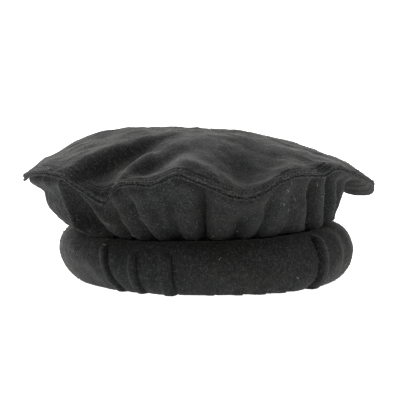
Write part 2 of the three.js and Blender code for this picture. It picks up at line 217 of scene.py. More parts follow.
CREASES = table(
    Crease,
    (-84, 0, -4, 0.4, 5), (-72, -16, -6, 0.35, 3), (-51.5, -4, -6, -1, 2, 0.7, -1, 2, 4.5),
    (-45, -2, -5.5, 1.7, 4.2), (-52, 4, -4, -1.4, 4, 1, -1, 0.22), (-40, 10, 0, -0.7, 1.8, 1, 0.3, 0.95),
    (-35.5, -2, 0, 1.0, 2.4), (-26.8, 3, 0, 0.9, 2.6), (-18, 5, 0, 0.6, 2.6), (-12.3, 1, 0, 1.0, 3),
    (0.6, -1.3, 0, 2.1, 2.3), (15, -1.5, 0, 1.2, 2.8, 1, -1, 0.5), (25.6, -1.5, 0, 0.7, 2.4),
    (38, 3, -1, 0.4, 4), (52, 10, -3, 1.5, 2.8), (65, 12, -2.5, 1.7, 2.8), (77, 10, -2, 0.9, 3.4),
    (89, 0, 0, 0.5, 5), (101, 2, 0, 0.9, 5, 0.8), (118, -2, 2, 0.6, 5), (136, 3, 0, 0.9, 6, 0.8),
    (156, 0, -2, 0.7, 6), (175, -3, 0, 0.9, 6, 0.8), (193, 2, 2, 0.6, 5), (212, 0, 0, 0.9, 6, 0.8),
    (231, 3, -2, 0.7, 5), (247, -2, 0, 0.9, 5, 0.8), (264, 2, 0, 0.6, 5),
)


class Pleat(NamedTuple):
    """A lap of the felt in the rolled brim.

    side is the way that the lip lies from its groove, lean is how many degrees the groove shifts from the
    outermost line to the top, lip is the height of the lapped edge, a share of a full lip's, width is in
    degrees, and low and high are how far round the roll it runs, in degrees from its outermost line.
    """

    bearing: float
    side: float
    lean: float
    lip: float
    width: float
    low: float
    high: float


PLEATS = table(
    Pleat,
    (-40.5, -1, -4, 0.9, 2.1, -110, 42), (-27.3, -1, -1, 1, 2.1, -115, 30),
    (-13.4, -1, -1, 1.2, 3, -120, 34), (4, -1, 0, 0.4, 3, -120, -50), (16, -1, 0, 0.6, 3, -120, -52),
    (26, -1, 0, 0.5, 4.4, -120, -50), (36, -1, 0, 0.5, 4, -115, -45), (49.5, 1, 0, 1.0, 3.2, -100, 58),
    (112, -1, 2, 0.7, 4, -115, 50), (137, 1, -2, 0.5, 4, -115, 30), (158, 1, 0, 0.7, 4.4, -110, 58),
    (183, -1, 3, 0.6, 4.4, -115, 50), (207, 1, 0, 0.7, 4.4, -110, 58), (230, -1, -2, 0.5, 4, -110, 40),
    (250, 1, 0, 0.6, 4, -115, 58),
)


class RollRow(NamedTuple):
    """How thick the roll is on a bearing, a share of the brim's width.

    lift is how far its lower outer corner is rounded up, and sag how far its top has sunk, both shares of
    the brim's height.
    """

    bearing: float
    thick: float
    lift: float
    sag: float


ROLL = table(
    RollRow,
    (-90, 0.99, 0.16, 0), (-75, 0.99, 0.32, 0.03), (-60, 0.99, 0.44, 0.09), (-40, 1, 0.18, 0.12),
    (-14, 1, 0.03, 0.1), (-5, 1, 0.1, 0.09), (6, 1, 0.11, 0.08), (18, 1, 0.04, 0.07), (28, 1, 0, 0.06),
    (50, 1.02, 0.04, 0.03), (90, 1.03, 0.09, 0), (135, 0.98, 0.02, 0), (180, 1.02, 0, 0.02),
    (230, 0.97, 0.05, 0),
)


class LedgeRow(NamedTuple):
    """A point of the brim's felt where it runs in under the hem: felt and gap say how far out it is, as
    shares of the felt and of the seam's gap, and down how far it lies below the hem, a share of the felt."""

    felt: float
    gap: float
    down: float


LEDGE = table(LedgeRow, (1, 1, 0), (0.5, 0, 0), (0, 0, 0.3), (0.1, 0, 0.8))


class StitchPoint(NamedTuple):
    """A point of a stitch: along is a share of its length, above is in millimetres, and thick is a share of
    the thread's thickness."""

    along: float
    above: float
    thick: float


STITCH = table(StitchPoint, (-0.5, -0.35, 0), (-0.32, 0.1, 1), (0, 0.22, 1), (0.32, 0.1, 1), (0.5, -0.35, 0))


def bell(x: Array, sharp: float = 1.0) -> Array:
    """A bump of height 1 at 0, round where sharp is 1 and more pointed where it is less."""
    return np.exp(-(np.abs(x) ** (2 * sharp)))


def smooth_step(x: Array, low: float, high: float) -> Array:
    """Rises smoothly from 0 at low to 1 at high."""
    t = np.clip((x - low) / (high - low), 0, 1)
    return t * t * (3 - 2 * t)


def window(x: Array, low: float, high: float, fade: float) -> Array:
    """1 between low and high, 0 outside, and smooth from fade before to fade past each of them."""
    return smooth_step(x - low, -fade, fade) * smooth_step(high - x, -fade, fade)


def turn_between(start: Array, end: Array) -> Array:
    """The signed angle in radians from one bearing to another, by the short way."""
    return np.arctan2(np.sin(end - start), np.cos(end - start))


def unit(vectors: Array) -> Array:
    """Vectors scaled to a length of 1."""
    return vectors / np.maximum(np.linalg.norm(vectors, axis=-1, keepdims=True), 1e-12)


def raised(plan: Array, height: Array | float) -> Array:
    """Puts places that are known in plan at their heights.

    Args:
        plan: The places, by 2.
        height: The height of each.

    Returns:
        The places, by 3.
    """
    shape = np.broadcast_shapes(plan.shape[:-1], np.shape(height))
    return np.append(np.broadcast_to(plan, (*shape, 2)), np.broadcast_to(height, shape)[..., None], axis=-1)


def uneven_columns(count: int, dense_at: Sequence[float], wide: float, extra: float) -> Array:
    """Bearings in radians of columns that stand closer where the felt is sharply folded.

    Args:
        count: How many columns go once round.
        dense_at: The bearings in degrees round which they stand closer.
        wide: How far in degrees that reaches.
        extra: How many times more columns there are at such a bearing, beyond the usual ones.

    Returns:
        The bearings, from 0 up.
    """
    fine = np.linspace(0, TURN, 7201)
    density = np.ones_like(fine)
    for bearing in dense_at:
        density += extra * bell(turn_between(np.radians(bearing), fine) / math.radians(wide))
    filled = np.concatenate([[0], np.cumsum((density[1:] + density[:-1]) / 2)])
    return np.interp(np.arange(count) / count * filled[-1], filled, fine)


def hermite(t: Array, start: Array, rise: Array, slope: Array, end_slope: Array) -> Array:
    """A smooth curve over one span.

    Args:
        t: How far along the span, from 0 to 1.
        start: The value at 0.
        rise: How much higher the value at 1 is.
        slope: How far it would rise over the span at the slope that it has at 0.
        end_slope: The same for 1.

    Returns:
        The value at t.
    """
    bent = t * (1 - t) ** 2 * slope + t * t * (t - 1) * end_slope
    return start + rise * t * t * (3 - 2 * t) + bent


def hermite_rows(values: Array, steps: Sequence[int]) -> Array:
    """Puts rows between the rows of a grid, on smooth curves that never overshoot.

    Args:
        values: The grid, rows first.
        steps: How many rows each span is divided into.

    Returns:
        The finer grid.
    """
    rise = np.diff(values, axis=0)
    both = rise[:-1] * rise[1:]
    total = rise[:-1] + rise[1:]
    inner = np.where(both > 0, 2 * both / np.where(total == 0, 1, total), 0)
    slopes = np.concatenate([rise[:1], inner, rise[-1:]])
    spans = zip(values, rise, slopes, slopes[1:], steps)
    rows = [hermite(t, *span) for *span, count in spans for t in np.arange(count) / count]
    return np.stack([*rows, values[-1]])


class RoundCurve:
    """A smooth closed curve through one column of a table whose rows go once round by bearing."""

    def __init__(self, rows: Sequence[NamedTuple], column: str) -> None:
        """Takes the knots from the rows, and repeats a few of them past each end.

        Args:
            rows: The table, in the order of its bearings.
            column: The name of the column that the curve goes through.
        """
        at = np.radians([row.bearing for row in rows])
        value = np.array([getattr(row, column) for row in rows], float)
        self.knots = np.concatenate([at[-2:] - TURN, at, at[:3] + TURN])
        self.values = np.concatenate([value[-2:], value, value[:3]])
        self.slopes = np.zeros_like(self.values)
        self.slopes[1:-1] = (self.values[2:] - self.values[:-2]) / (self.knots[2:] - self.knots[:-2])

    def __call__(self, bearing: Array) -> Array:
        """Looks the curve up.

        Args:
            bearing: The bearings in radians.

        Returns:
            The curve's value on each.
        """
        first = self.knots[2]
        turned = first + np.mod(bearing - first, TURN)
        i = np.searchsorted(self.knots, turned, side="right") - 1
        span = self.knots[i + 1] - self.knots[i]
        rise = self.values[i + 1] - self.values[i]
        slopes = (self.slopes[i] * span, self.slopes[i + 1] * span)
        return hermite((turned - self.knots[i]) / span, self.values[i], rise, *slopes)


class Unevenness:
    """A soft random field in space, alike on every run: a sum of waves that all have about one length."""

    WAVES = 28

    def __init__(self, seed: int, length: float) -> None:
        """Draws the waves.

        Args:
            seed: The seed of the random draws.
            length: The mean length of a wave in millimetres.
        """
        draw = np.random.default_rng(seed)
        ways = unit(draw.normal(size=(self.WAVES, 3)))
        self.turns = ways * TURN / (length * draw.uniform(0.7, 1.4, (self.WAVES, 1)))
        self.phases = draw.uniform(0, TURN, self.WAVES)

    def __call__(self, places: Array) -> Array:
        """The field at each place in millimetres, mostly from -1 to 1."""
        return np.cos(places @ self.turns.T + self.phases).sum(-1) / math.sqrt(self.WAVES)


class Lumps(NamedTuple):
    """Soft lumps of the felt that are about as high and as far apart as this, in millimetres."""

    height: float
    seed: int
    length: float


def lumpiness(rows: Sequence[Lumps], places: Array) -> Array:
    """How far lumps of several sizes together lift the felt at each place."""
    return sum(row.height * Unevenness(row.seed, row.length)(places) for row in rows)


@dataclass
class Skin:
    """The part of a piece of felt that shows: a grid of places in millimetres, and the way out at each.

    places and outwards are rows by columns by 3. The columns go once round.
    """

    places: Array
    outwards: Array

    def scatter(self, draw: np.random.Generator, count: int) -> tuple[Array, Array]:
        """Picks places evenly over the felt.

        Args:
            draw: The source of the random draws.
            count: How many places to pick.

        Returns:
            The places, and the way out at each.
        """
        corners = [self.places, np.roll(self.places, -1, axis=1)]
        near, far = (corner[:-1] for corner in corners)
        above, beyond = (corner[1:] for corner in corners)
        area = np.linalg.norm(np.cross(beyond - near, above - far), axis=-1)
        cell = draw.choice(area.size, count, p=(area / area.sum()).ravel())
        row, column = np.unravel_index(cell, area.shape)
        up, along = draw.random((2, count, 1))
        beside = (column + 1) % self.places.shape[1]

        def between(grid: Array) -> Array:
            """The grid's value inside each picked cell."""
            low = grid[row, column] * (1 - along) + grid[row, beside] * along
            high = grid[row + 1, column] * (1 - along) + grid[row + 1, beside] * along
            return low * (1 - up) + high * up

        return between(self.places), unit(between(self.outwards))


def grid_normals(places: Array) -> Array:
    """The way across each point of a grid whose columns go once round: out of a ring whose rows go up."""
    along = np.roll(places, -1, axis=1) - np.roll(places, 1, axis=1)
    return unit(np.cross(along, np.gradient(places, axis=0)))


def ways_along(draw: np.random.Generator, out: Array) -> Array:
    """A random direction along the felt at each place, where out is the way out of it."""
    way = draw.normal(size=out.shape)
    return unit(way - (way * out).sum(-1, keepdims=True) * out)


def shown(mesh: bpy.types.Mesh) -> bpy.types.Object:
    """Puts a mesh in the scene as an object of the same name, at the origin."""
    thing = bpy.data.objects.new(mesh.name, mesh)
    bpy.context.scene.collection.objects.link(thing)
    return thing


def flat_grid(columns: int, spans: int) -> tuple[bmesh.types.BMesh, Array, Array]:
    """Makes a flat grid to be bent into shape, and numbers the row and the column of each vertex."""
    bm = bmesh.new()
    bmesh.ops.create_grid(bm, x_segments=columns, y_segments=spans, size=0.5)
    return bm, *np.divmod(np.arange(len(bm.verts)), columns + 1)


def bent_grid(
    name: str, bm: bmesh.types.BMesh, places: Array, drawn: Array, seam: Array, tones: Array | None = None
) -> bpy.types.Object:
    """Bends a flat grid into a piece of the cap, and welds its seams.

    Args:
        name: The name of the piece.
        bm: The grid, which is used up.
        places: Where each vertex goes, in millimetres.
        drawn: Where each vertex lies on the map that textures are baked through.
        seam: Whether each vertex is on a seam.
        tones: A number for each vertex, which the finish reads as the attribute "tone".

    Returns:
        The piece, with its place in its mesh.
    """
    mesh = bpy.data.meshes.new(name)
    bm.to_mesh(mesh)
    mesh.vertices.foreach_set("co", (places * MM).astype(np.float32).ravel())
    corner = np.zeros(len(mesh.loops), np.int32)
    mesh.loops.foreach_get("vertex_index", corner)
    mesh.uv_layers.new(name=BAKE_MAP).data.foreach_set("uv", drawn[corner].astype(np.float32).ravel())
    if tones is not None:
        mesh.attributes.new("tone", "FLOAT", "POINT").data.foreach_set("value", tones)

    bm.clear()
    bm.from_mesh(mesh)
    bm.verts.ensure_lookup_table()
    bmesh.ops.remove_doubles(bm, verts=[bm.verts[i] for i in np.flatnonzero(seam).tolist()], dist=WELD)
    bmesh.ops.recalc_face_normals(bm, faces=bm.faces)
    bm.to_mesh(mesh)
    bm.free()
    mesh.shade_smooth()
    thing = shown(mesh)
    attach(thing, "root")
    return thing


class Section(Enum):
    """How the section of a piece of felt closes."""

    ON_ITSELF = "a ring: the last point is joined to the first"
    ON_THE_AXIS = "a disc: the first and the last point lie on the axis"


def wrapped_felt(name: str, shape: Array, section: Section) -> bpy.types.Object:
    """Wraps a grid into a closed ring or disc of felt, with each of its points where the shape says.

    Args:
        name: The name of the piece.
        shape: The points in millimetres: rows of the section, by columns round the axis, by 3.
        section: How the section closes.

    Returns:
        The piece.
    """
    rows, columns = shape.shape[:2]
    spans = rows if section is Section.ON_ITSELF else rows - 1
    bm, row, column = flat_grid(columns, spans)
    drawn = np.stack([column / columns, row / spans], axis=-1)
    seam = (column % columns == 0) | (row % spans == 0)
    return bent_grid(name, bm, shape[row % rows, column % columns], drawn, seam)


def tubes(name: str, paths: Array, radii: Array, sides: int, tones: Array) -> bpy.types.Object:
    """Joins many thin tubes with pointed ends in one mesh, such as fibres or stitches.

    None goes into the floor. Each has a small square of its own on the map that textures are baked through.

    Args:
        name: The name of the piece.
        paths: The middle line of each tube in millimetres: tubes by rings by 3.
        radii: The radius in millimetres at each ring of a tube, 0 at the first and the last.
        sides: How many sides a tube has.
        tones: A number from 0 to 1 for each tube, which its finish reads as the attribute "tone".

    Returns:
        The piece.
    """
    count, rings = paths.shape[:2]
    paths = np.maximum(paths, [-np.inf, -np.inf, 2 * radii.max()])
    ahead = unit(np.gradient(paths, axis=1))
    chord = unit(paths[:, -1:] - paths[:, :1])
    hint = np.where(np.abs(chord[..., 2:]) < 0.8, [0.0, 0.0, 1.0], [1.0, 0.0, 0.0])
    across = unit(np.cross(ahead, np.broadcast_to(hint, ahead.shape)))
    over = np.cross(ahead, across)
    angle = np.arange(sides) * TURN / sides
    ring = np.cos(angle)[:, None] * across[:, :, None] + np.sin(angle)[:, None] * over[:, :, None]
    points = (paths[:, :, None] + radii[None, :, None, None] * ring).reshape(count * rings, sides, 3)

    bm, row, column = flat_grid(sides, count * rings - 1)
    gaps = [face for i, face in enumerate(bm.faces) if (i // sides + 1) % rings == 0]
    bmesh.ops.delete(bm, geom=gaps, context="FACES")
    tube, angle = row // rings, column / sides * TURN
    wide = math.ceil(math.sqrt(count))
    square = np.stack([tube % wide, tube // wide], axis=-1) + 0.5
    drawn = (square + TUBE_RING * np.stack([np.cos(angle), np.sin(angle)], axis=-1)) / wide
    seam = (row % rings == 0) | (row % rings == rings - 1) | (column % sides == 0)
    return bent_grid(name, bm, points[row, column % sides], drawn, seam, tones[tube])


class Rim:
    """The stitched rim of the crown, which the crown and the side wall share."""

    def __init__(self, sizes: Sizes) -> None:
        """Keeps the sizes and makes the rim's curves."""
        self.sizes = sizes
        self.lift = RoundCurve(RIM, "lift")
        self.reach = RoundCurve(RIM, "reach")

    def plan(self, bearing: Array) -> Array:
        """The plan position of the rim on each bearing."""
        reach = self.sizes.ruffle_reach * self.reach(bearing)
        right = (self.sizes.crown_width / 2 + reach) * np.sin(bearing)
        back = -(self.sizes.crown_depth / 2 + reach) * np.cos(bearing)
        return np.stack([right, back], axis=-1)


@dataclass
class Crown:
    """The crown: one round sheet of felt, with rows of stitching sunk into it near its rim."""

    sizes: Sizes
    rim: Rim
    fullness: float = 2.4  # exponent of the dome: higher is flatter in the middle and steeper at the rim
    ruffle_fade: float = 5.0  # exponent by which the ruffles die out towards the middle
    rim_stiffness: float = 0.55  # share by which the folds are weaker at the stitched rim
    stiffness_fade: float = 8.0  # exponent by which that stiffness dies out towards the middle
    seam_rows: tuple[float, ...] = (3.0, 6.5, 10.0)  # how far in from the rim the rows of stitching lie
    channel_depth: float = 0.7  # how deep the thread pulls the felt in
    channel_width: float = 1.0
    channel_lumps: Lumps = Lumps(0.3, 15, 9)  # how unevenly it does so, a share of that depth
    wrinkle_seed: int = 11
    wrinkles: int = 70  # short wrinkles that run in from the gathered rim
    wrinkle_wide: tuple[float, float] = (1.1, 2.8)  # in degrees
    wrinkle_long: tuple[float, float] = (9.0, 30.0)
    wrinkle_lean: float = 4.0  # in degrees
    free_lumps: tuple[Lumps, ...] = table(Lumps, (0.8, 12, 34))  # where the rim doesn't hold the felt
    free_from: float = 20.0  # how far in from the rim that is
    lumps: tuple[Lumps, ...] = table(Lumps, (0.35, 13, 13), (0.12, 14, 5))
    rim_band: float = 0.84  # the share of the way out from which the rows stand closer
    middle_rows: int = 25
    band_rows: int = 28
    under_relief: float = 0.3  # how much of the relief shows on the underside, a share
    under_fade: tuple[float, float] = (0.9, 0.8)  # the shares of the way out between which that starts
    edge_points: int = 5

    def top(self, share: Array, bearing: Array) -> Array:
        """The height of the crown's upper face, before its relief.

        Args:
            share: How far out each place is, a share of the way to the rim.
            bearing: The bearings in radians.

        Returns:
            The heights.
        """
        half = self.sizes.crown_width / 2
        place = self.rim.plan(bearing) * share[..., None]
        dome = self.sizes.crown_rise * (1 - share**self.fullness)
        ruffle = self.sizes.ruffle_height * self.rim.lift(bearing) * share**self.ruffle_fade
        folds = np.zeros(np.broadcast(share, bearing).shape)
        for fold in FOLDS:
            away = place - np.array([fold.right, fold.back]) * half
            c, s = math.cos(math.radians(fold.turn)), math.sin(math.radians(fold.turn))
            along = (away[..., 0] * c + away[..., 1] * s) / (fold.long * half)
            across = (away[..., 1] * c - away[..., 0] * s) / (fold.wide * half)
            across = np.where(across > 0, across * fold.steep, across)
            folds += fold.rise * bell(along) * bell(across, fold.sharp)
        slack = 1 - self.rim_stiffness * share**self.stiffness_fade
        return self.sizes.rim_height + dome + ruffle + self.sizes.fold_height * folds * slack

    def relief(self, share: Array, bearing: Array) -> Array:
        """How far wrinkles, lumps and the channels of the stitches lift the upper face.

        Args:
            share: How far out each place is, a share of the way to the rim.
            bearing: The bearings in radians.

        Returns:
            The lifts.
        """
        draw = np.random.default_rng(self.wrinkle_seed)
        rim = self.rim.plan(bearing)
        inward = np.linalg.norm(rim, axis=-1) * (1 - share)
        rise = np.zeros(np.broadcast(share, bearing).shape)
        for _ in range(self.wrinkles):
            at = draw.uniform(0, TURN)
            wide = math.radians(draw.uniform(*self.wrinkle_wide))
            long = draw.uniform(*self.wrinkle_long)
            lean = math.radians(draw.uniform(-self.wrinkle_lean, self.wrinkle_lean))
            height = draw.uniform(-1.0, 1.0)
            away = turn_between(at + lean * inward / long, bearing) / wide
            rise += height * bell(away) * bell(inward / long)
        place = raised(rim * share[..., None], 0)
        rise += lumpiness(self.free_lumps, place) * smooth_step(inward, 0, self.free_from)
        rise += lumpiness(self.lumps, place)
        pull = self.channel_depth * (1 + lumpiness([self.channel_lumps], place))
        for row in self.seam_rows:
            rise -= pull * bell((inward - row) / self.channel_width)
        return rise

    def build(self) -> bpy.types.Object:
        """Makes the crown's felt, with a round edge and an even underside."""
        bearing = (np.arange(COLUMNS) * TURN / COLUMNS)[None, :]
        half, radius = self.sizes.felt / 2, self.sizes.crown_width / 2
        edge = 1 - half / radius
        inner = np.linspace(0, self.rim_band, self.middle_rows)
        outer = np.linspace(self.rim_band, edge, self.band_rows)
        shares = np.concatenate([inner, outer[1:]])[:, None]
        smooth = self.top(shares, bearing)
        upper = smooth + self.relief(shares, bearing)
        face = raised(self.rim.plan(bearing) * shares[..., None], upper)
        relief = self.under_relief * (upper - smooth) * smooth_step(shares, *self.under_fade)
        under = raised(face[..., :2], smooth - self.sizes.felt + relief)
        turn = np.linspace(math.pi / 2, -math.pi / 2, self.edge_points + 2)[1:-1, None]
        out = (edge + half * np.cos(turn) / radius)[..., None]
        above, below = upper[-1:], under[-1:, :, 2]
        lip = raised(self.rim.plan(bearing) * out, (above + below) / 2 + (above - below) / 2 * np.sin(turn))
        self.skin = Skin(face, -grid_normals(face))
        self.edge = Skin(lip, -grid_normals(lip))
        thing = wrapped_felt("crown_felt", np.concatenate([face, lip, under[::-1]]), Section.ON_THE_AXIS)
        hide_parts("crown_disc")
        return thing


@dataclass
class SideWall:
    """The tube of felt that puckers in below the crown and runs down inside the rolled brim."""

    sizes: Sizes
    rim: Rim
    crown: Crown
    sleeve_top: float = 0.8  # a share of the brim's height
    neck: float = 0.06  # how far out the tube bends over the brim's edge, a share of the way to the rim
    flange: tuple[float, ...] = (0.91, 0.955, 1.0)  # the shares where the tube lies flat under the crown
    flange_fade: int = 3  # the rows before them over which it turns flat
    span_rows: tuple[int, ...] = (4, 3, 4, 5, 6, 6, 7, 7, 6, 3, 3)
    hidden_rows: int = 7  # the rows that run down inside the brim
    gather_seed: int = 21
    small_gathers: int = 90
    small_lean: float = 6.0  # in degrees
    small_wide: tuple[float, float] = (0.9, 2.2)  # in degrees
    small_tall: tuple[float, float] = (0.14, 0.4)  # shares of the wall's height, as is the next
    small_at: tuple[float, float] = (0.08, 0.9)
    small_depth: tuple[float, float] = (-0.16, 0.24)  # shares of the gathers' depth
    small_sharp: float = 0.8
    lumps: tuple[Lumps, ...] = table(Lumps, (0.5, 22, 24), (0.25, 23, 9), (0.1, 24, 4))
    fold_at: float = -58.0  # bearing of the big crisp fold, where the columns stand closer
    fold_wide: float = 16.0
    fold_columns: float = 1.5  # how many times more columns there are
    crease_end: float = 0.13  # half the height, a share of the wall's, over which a crease dies out
    edge_points: int = 3

    def opening(self, bearing: Array, out: Array) -> Array:
        """The plan position of a point some way out from the inner face of the head opening."""
        right = self.sizes.opening_shift + (self.sizes.opening_width / 2 + out) * np.sin(bearing)
        back = -(self.sizes.opening_depth / 2 + out) * np.cos(bearing)
        return np.stack([right, back], axis=-1)

    def foot_height(self, bearing: Array) -> Array:
        """The height of the top of the rolled brim on each bearing."""
        return self.sizes.brim_height * (1 - RoundCurve(ROLL, "sag")(bearing))

    def gather(self, bearing: Array, up: Array) -> tuple[Array, Array]:
        """How the wall is gathered.

        Args:
            bearing: The bearings in radians.
            up: The heights, from 0 at the brim to 1 at the crown.

        Returns:
            How deep the wall is drawn in, a share of the gathers' depth, and how far it leans over towards
            growing bearings, in millimetres.
        """
        depth = np.zeros(np.broadcast(bearing, up).shape)
        lean_over = np.zeros_like(depth)
        for crease in CREASES:
            shift = -crease.lean * (up - 0.5) + 4 * crease.bow * up * (1 - up)
            away = turn_between(np.radians(crease.bearing + shift), bearing) / math.radians(crease.width)
            ends = window(up, crease.low, crease.high, self.crease_end)
            depth += crease.depth * ends * bell(away, crease.sharp)
            lean_over += crease.lap * ends * bell(away)
        draw = np.random.default_rng(self.gather_seed)
        for _ in range(self.small_gathers):
            at, lean = draw.uniform(0, TURN), math.radians(draw.uniform(-self.small_lean, self.small_lean))
            wide, tall = math.radians(draw.uniform(*self.small_wide)), draw.uniform(*self.small_tall)
            middle, deep = draw.choice(self.small_at), draw.uniform(*self.small_depth)
            away = turn_between(at + lean * (up - middle), bearing) / wide
            depth += deep * bell(away, self.small_sharp) * bell((up - middle) / tall)
        return depth, lean_over

    def middle(self, bearing: Array) -> tuple[Array, Array]:
        """The middle line of the tube's felt on each bearing, before it is gathered.

        Args:
            bearing: The bearings in radians.

        Returns:
            The line's few rows of places, by bearings, by 3, and the way out from the opening on each.
        """
        half, gap = self.sizes.felt / 2, self.sizes.seam_gap
        foot, rim = self.opening(bearing, half), self.rim.plan(bearing)
        reach = np.linalg.norm(rim - foot, axis=-1)
        away = unit(rim - foot)

        def at(share: Array | float, height: Array | float) -> Array:
            """A row of places, a share of the way out from the foot to the rim."""
            return raised(foot + away * (share * reach)[:, None], height)

        low = self.foot_height(bearing)
        rows = [at(0, self.sizes.roll_start + gap), at(0, self.sleeve_top * low)]
        rows.append(at(self.neck, low + half + gap))
        drop = self.sizes.felt + gap + half  # from the crown's upper face to the middle of the tube's felt
        heights = [self.crown.top(np.full_like(bearing, share), bearing) - drop for share in self.flange]
        sewn = [raised(rim * share, height) for share, height in zip(self.flange, heights)]
        parts = ("foot", "belly", "shoulder", "brow")
        for row in HEIGHTS:
            stand = sum(getattr(row, part) * RoundCurve(BAG, part)(bearing) for part in parts)
            rows.append(at(stand, low + (heights[0] - low) * row.up))
        return np.stack(rows + sewn), away

    def build(self) -> bpy.types.Object:
        """Makes the tube of felt as a closed band of even thickness, with round edges."""
        bearing = uneven_columns(COLUMNS, [self.fold_at], self.fold_wide, self.fold_columns)
        few, away = self.middle(bearing)
        line = hermite_rows(few, self.span_rows)
        low, high = self.foot_height(bearing), few[-len(self.flange), :, 2]
        up = (line[..., 2] - low) / (high - low)
        heights = [0, *(row.up for row in HEIGHTS), 1]
        fullness = [0, *(row.full for row in HEIGHTS), 0]
        flat_from = sum(self.span_rows[: 1 - len(self.flange)])
        full = np.interp(up, heights, fullness)
        full[flat_from:] = 0
        drawn_in, lean_over = self.gather(bearing, up)
        moved = np.clip(full, 0, 1) * lumpiness(self.lumps, line) - self.sizes.gather_depth * full * drawn_in
        beside = np.stack([-away[:, 1], away[:, 0]], axis=-1)
        line[..., :2] += away * moved[..., None] + beside * (full * lean_over)[..., None]
        flat = smooth_step(np.arange(len(line)), flat_from - self.flange_fade, flat_from)[:, None, None]
        across = unit(grid_normals(line) * (1 - flat) + np.array([0, 0, -1]) * flat)
        half = self.sizes.felt / 2
        ahead = unit(np.gradient(line, axis=0))

        def bend(row: int, way: float) -> Array:
            """The round edge of the felt at one end of the line."""
            turns = np.linspace(0, math.pi, self.edge_points + 2)[1:-1]
            sides = [across[row] * math.cos(a) * way + ahead[row] * way * math.sin(a) for a in turns]
            return line[row] + half * np.stack(sides)

        outside, inside = line + half * across, line - half * across
        inset = line[-1, :, :2] * (1 - half / np.linalg.norm(line[-1, :, :2], axis=-1, keepdims=True))
        for face in (outside, inside, line):
            face[-1, :, :2] = inset
        hem = bend(-1, 1)
        self.edge = Skin(hem, unit(hem - line[-1]))
        self.skin = Skin(outside[self.hidden_rows : flat_from], across[self.hidden_rows : flat_from])
        shape = np.concatenate([outside, hem, inside[::-1], bend(0, -1)])
        thing = wrapped_felt("wall_felt", shape, Section.ON_ITSELF)
        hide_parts("side_wall")
        return thing


